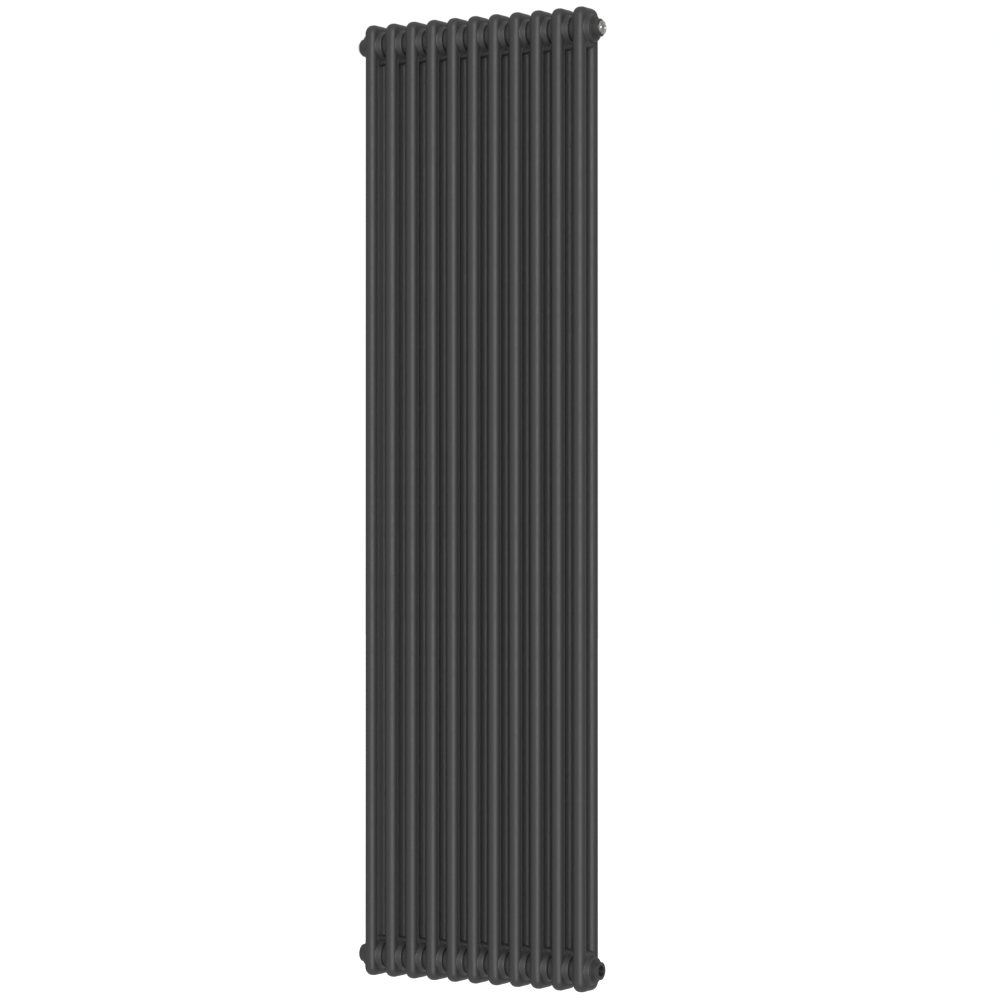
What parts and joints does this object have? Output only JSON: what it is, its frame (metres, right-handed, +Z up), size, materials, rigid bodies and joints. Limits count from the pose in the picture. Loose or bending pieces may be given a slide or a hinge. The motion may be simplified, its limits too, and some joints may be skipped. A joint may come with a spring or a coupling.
{
  "type": "column radiator",
  "caption": "Tall wall-hung two-column steel tube radiator with tapped end bushes and a bleed valve with a turning screw",
  "frame": {"origin": "under the middle of the row of sections, at mid-depth, level with the lowest points of the bottom heads", "axes": "+X along the row of sections towards the bleed valve, -Y towards the room, +Y towards the wall, +Z up"},
  "size_m": [0.524, 0.0684, 1.8],
  "materials": {
    "powder_coat": "satin anthracite powder coat on steel",
    "bush_paint": "satin anthracite paint on a turned steel bush",
    "bare_steel": "bare turned steel",
    "bright_plating": "bright nickel plating on turned brass",
    "screw_metal": "nickel-plated turned brass",
    "black_rubber": "black rubber"
  },
  "bodies": {
    "radiator": {"top_head_01": "powder_coat", "bottom_head_01": "powder_coat", "front_tube_01": "powder_coat", "rear_tube_01": "powder_coat", "top_head_02": "powder_coat", "bottom_head_02": "powder_coat", "front_tube_02": "powder_coat", "rear_tube_02": "powder_coat", "top_head_03": "powder_coat", "bottom_head_03": "powder_coat", "front_tube_03": "powder_coat", "rear_tube_03": "powder_coat", "top_head_04": "powder_coat", "bottom_head_04": "powder_coat", "front_tube_04": "powder_coat", "rear_tube_04": "powder_coat", "top_head_05": "powder_coat", "bottom_head_05": "powder_coat", "front_tube_05": "powder_coat", "rear_tube_05": "powder_coat", "top_head_06": "powder_coat", "bottom_head_06": "powder_coat", "front_tube_06": "powder_coat", "rear_tube_06": "powder_coat", "top_head_07": "powder_coat", "bottom_head_07": "powder_coat", "front_tube_07": "powder_coat", "rear_tube_07": "powder_coat", "top_head_08": "powder_coat", "bottom_head_08": "powder_coat", "front_tube_08": "powder_coat", "rear_tube_08": "powder_coat", "top_head_09": "powder_coat", "bottom_head_09": "powder_coat", "front_tube_09": "powder_coat", "rear_tube_09": "powder_coat", "top_head_10": "powder_coat", "bottom_head_10": "powder_coat", "front_tube_10": "powder_coat", "rear_tube_10": "powder_coat", "top_head_11": "powder_coat", "bottom_head_11": "powder_coat", "front_tube_11": "powder_coat", "rear_tube_11": "powder_coat", "top_collar_welds": "powder_coat", "bottom_collar_welds": "powder_coat", "flow_diverter": "bare_steel", "end_thread_rings": "bare_steel", "top_left_bush": "bush_paint", "top_right_bush": "bush_paint", "bottom_left_bush": "bush_paint", "bottom_right_bush": "bush_paint", "bush_gaskets": "black_rubber", "bleed_valve_body": "bright_plating", "bleed_valve_seal": "black_rubber", "blanking_plug": "bright_plating", "blanking_plug_seal": "black_rubber"},
    "screw_seal": {"bleed_screw_seal": "black_rubber"},
    "screw": {"bleed_screw": "screw_metal"}
  },
  "joints": [
    {"name": "bleed_screw_travel", "type": "slide", "parent": "radiator", "child": "screw_seal", "axis": [1, 0, 0], "range_m": [0, 0.001]},
    {"name": "bleed_screw_turn", "type": "hinge", "parent": "screw_seal", "child": "screw", "pos_m": [0.2575, 0, 1.761], "axis": [1, 0, 0], "range_deg": [0, 360]}
  ],
  "couplings": [
    {"joint": "bleed_screw_turn", "follows": "bleed_screw_travel", "rad_per_m": 6283.2}
  ]
}
